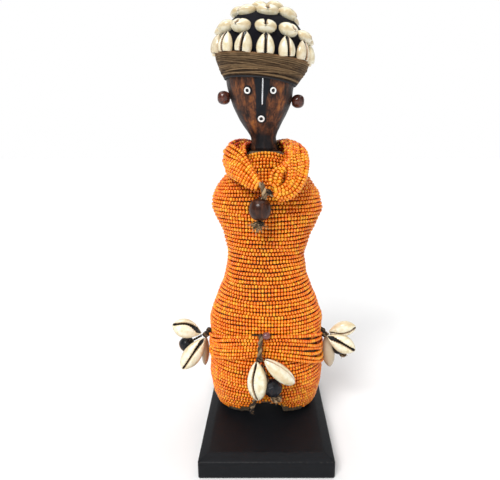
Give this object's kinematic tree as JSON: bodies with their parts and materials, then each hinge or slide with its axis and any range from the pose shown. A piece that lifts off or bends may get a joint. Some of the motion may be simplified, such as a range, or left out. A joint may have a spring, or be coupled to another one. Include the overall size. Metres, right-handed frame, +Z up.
{
  "type": "beaded fertility doll",
  "caption": "Carved wooden doll wound with orange seed beads, with cowrie cap, wound headband, bead necklace, belt and hanging shell bunches, standing on a black bevelled plinth.",
  "frame": {"origin": "middle of the plinth's underside", "axes": "+Z up along the doll, -Y out of its face, +X to the viewer's right"},
  "size_m": [0.1227, 0.104, 0.2654],
  "materials": {
    "black_plinth_paint": "satin black paint over wood, a little worn at the edges",
    "peg_wood": "plain turned dowel",
    "carved_wood": "stained dark brown and rubbed through to orange brown, waxed",
    "brown_cloth": "coarse brown cotton",
    "orange_seed_beads": "glossy opaque orange seed beads on dark thread",
    "waxed_twine": "two-ply waxed brown twine with frayed ends",
    "dark_polished_bead": "dark polished wooden bead",
    "band_twine": "thin twine wound side by side",
    "black_cap_cloth": "black woven cloth",
    "cowrie_shell": "smooth cream shell with toothed dark slit",
    "ear_bead_wood": "reddish brown polished wooden bead",
    "steel_wire": "thin dark wire",
    "white_glass": "opaque white bead",
    "black_nail": "black pin head",
    "silver_strip": "thin bright metal strip"
  },
  "bodies": {
    "doll": {"plinth": "black_plinth_paint", "left_foot_peg": "peg_wood", "right_foot_peg": "peg_wood", "wood_figure": "carved_wood", "cloth_cover": "brown_cloth", "bead_rows_chest": "orange_seed_beads", "bead_rows_hips": "orange_seed_beads", "bead_rows_legs": "orange_seed_beads", "bead_belt": "orange_seed_beads", "bead_necklace": "orange_seed_beads", "front_tie": "waxed_twine", "headband": "band_twine", "cap": "black_cap_cloth", "cap_shell_01": "cowrie_shell", "cap_shell_02": "cowrie_shell", "cap_shell_03": "cowrie_shell", "cap_shell_04": "cowrie_shell", "cap_shell_05": "cowrie_shell", "cap_shell_06": "cowrie_shell", "cap_shell_07": "cowrie_shell", "cap_shell_08": "cowrie_shell", "cap_shell_09": "cowrie_shell", "cap_shell_10": "cowrie_shell", "cap_shell_11": "cowrie_shell", "cap_shell_12": "cowrie_shell", "cap_shell_13": "cowrie_shell", "cap_shell_14": "cowrie_shell", "cap_shells_second_row": "cowrie_shell", "cap_shells_third_row": "cowrie_shell", "cap_shells_top": "cowrie_shell", "left_ear_bead": "ear_bead_wood", "right_ear_bead": "ear_bead_wood", "ear_wire": "steel_wire", "left_eye_ring": "white_glass", "right_eye_ring": "white_glass", "mouth_ring": "white_glass", "left_eye_nail": "black_nail", "right_eye_nail": "black_nail", "mouth_nail": "black_nail", "nose_strip": "silver_strip"},
    "pendant_tie": {"pendant_knot": "waxed_twine"},
    "pendant": {"pendant_bead": "dark_polished_bead", "pendant_cord": "waxed_twine"},
    "front_shell_1": {"front_shell_1": "cowrie_shell", "front_cord_end": "waxed_twine"},
    "front_shell_2": {"front_shell_2": "cowrie_shell"},
    "front_bead": {"front_bead": "dark_polished_bead", "front_bead_cord": "waxed_twine"},
    "left_bunch_tie": {"left_tie": "waxed_twine"},
    "left_bunch": {"left_shell_1": "cowrie_shell", "left_shell_2": "cowrie_shell", "left_shell_3": "cowrie_shell", "left_bead": "dark_polished_bead", "left_bead_cord": "waxed_twine"},
    "right_bunch_tie": {"right_tie": "waxed_twine"},
    "right_bunch": {"right_shell_1": "cowrie_shell", "right_shell_2": "cowrie_shell", "right_shell_3": "cowrie_shell", "right_bead": "dark_polished_bead", "right_bead_cord": "waxed_twine"}
  },
  "joints": [
    {"name": "pendant_side_swing", "type": "hinge", "parent": "doll", "child": "pendant_tie", "pos_m": [-0.0035, -0.0225, 0.1636], "axis": [0, 1, 0], "range_deg": [-15, 15]},
    {"name": "pendant_forward_swing", "type": "hinge", "parent": "pendant_tie", "child": "pendant", "pos_m": [-0.0036, -0.0244, 0.1568], "axis": [-1, 0, 0], "range_deg": [0, 35]},
    {"name": "front_shell_1_swing", "type": "hinge", "parent": "doll", "child": "front_shell_1", "pos_m": [-0.0068, -0.0286, 0.0588], "axis": [-1, 0, 0], "range_deg": [0, 45]},
    {"name": "front_shell_2_swing", "type": "hinge", "parent": "doll", "child": "front_shell_2", "pos_m": [-0.001, -0.0288, 0.0602], "axis": [-1, 0, 0], "range_deg": [0, 45]},
    {"name": "front_bead_swing", "type": "hinge", "parent": "doll", "child": "front_bead", "pos_m": [-0.0029, -0.0274, 0.0576], "axis": [-1, 0, 0], "range_deg": [0, 45]},
    {"name": "left_bunch_swing", "type": "hinge", "parent": "doll", "child": "left_bunch_tie", "pos_m": [-0.0402, 0.004, 0.0624], "axis": [0, 0, 1], "range_deg": [0, 40]},
    {"name": "left_bunch_lift", "type": "hinge", "parent": "left_bunch_tie", "child": "left_bunch", "pos_m": [-0.0424, 0.004, 0.0624], "axis": [0, 1, 0], "range_deg": [0, 35]},
    {"name": "right_bunch_swing", "type": "hinge", "parent": "doll", "child": "right_bunch_tie", "pos_m": [0.0396, 0.003, 0.064], "axis": [0, 0, -1], "range_deg": [0, 40]},
    {"name": "right_bunch_lift", "type": "hinge", "parent": "right_bunch_tie", "child": "right_bunch", "pos_m": [0.042, 0.003, 0.064], "axis": [0, -1, 0], "range_deg": [0, 35]}
  ]
}
